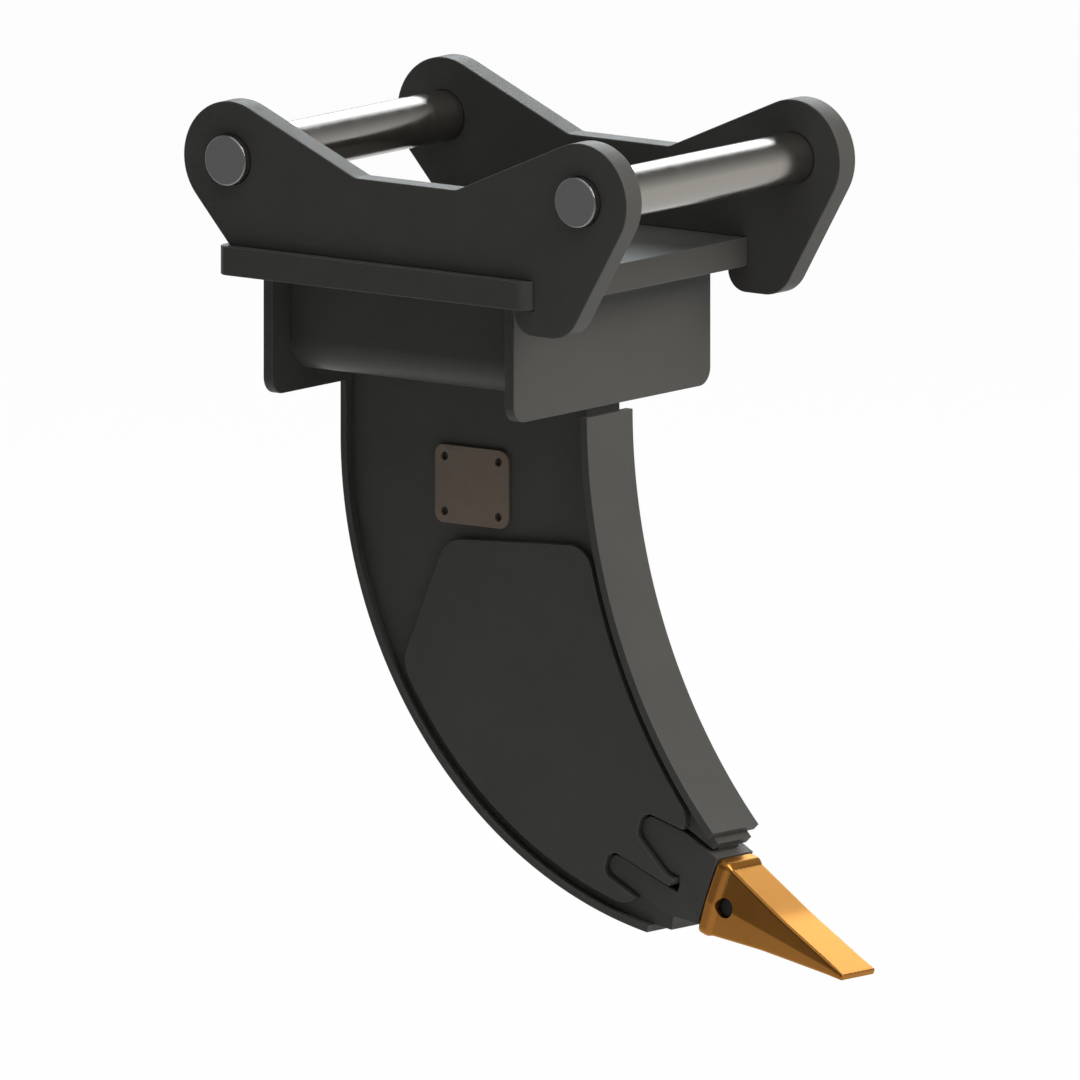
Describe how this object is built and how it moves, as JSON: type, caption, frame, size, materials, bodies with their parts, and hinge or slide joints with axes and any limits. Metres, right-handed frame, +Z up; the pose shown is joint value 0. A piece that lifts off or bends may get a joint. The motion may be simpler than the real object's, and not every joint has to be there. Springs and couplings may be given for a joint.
{
  "type": "excavator ripper attachment",
  "caption": "Single-shank excavator ripper: an eared hitch head with cross pins and a welded box carries a swept plate shank with wear plates, a forked adapter and a wedge tooth.",
  "frame": {"origin": "midway between the axes of the two hitch pins, on the centre plane of the shank", "axes": "+X forward to the tooth, +Y along the hitch pins to the left, +Z up towards the hitch"},
  "size_m": [0.9623, 0.544, 1.1562],
  "materials": {
    "charcoal_paint": "satin charcoal paint",
    "pin_steel": "ground and polished",
    "bronze_plate": "satin bronze brown",
    "gold_paint": "satin gold paint",
    "lock_steel": "dark oiled steel",
    "lock_rubber": "matt"
  },
  "bodies": {
    "root": {"right_ear": "charcoal_paint", "left_ear": "charcoal_paint", "front_hitch_pin": "pin_steel", "rear_hitch_pin": "pin_steel", "base_plate": "charcoal_paint", "head_front_plate": "charcoal_paint", "head_rear_plate": "charcoal_paint", "right_side_plate": "charcoal_paint", "left_side_plate": "charcoal_paint", "shank": "charcoal_paint", "front_wear_bar": "charcoal_paint", "rear_wear_strip": "charcoal_paint", "right_cheek_plate": "charcoal_paint", "left_cheek_plate": "charcoal_paint", "blank_plate": "bronze_plate", "tooth_adapter": "charcoal_paint", "tooth": "gold_paint", "lock_pin": "lock_steel", "lock_ring": "lock_rubber"}
  },
  "joints": []
}
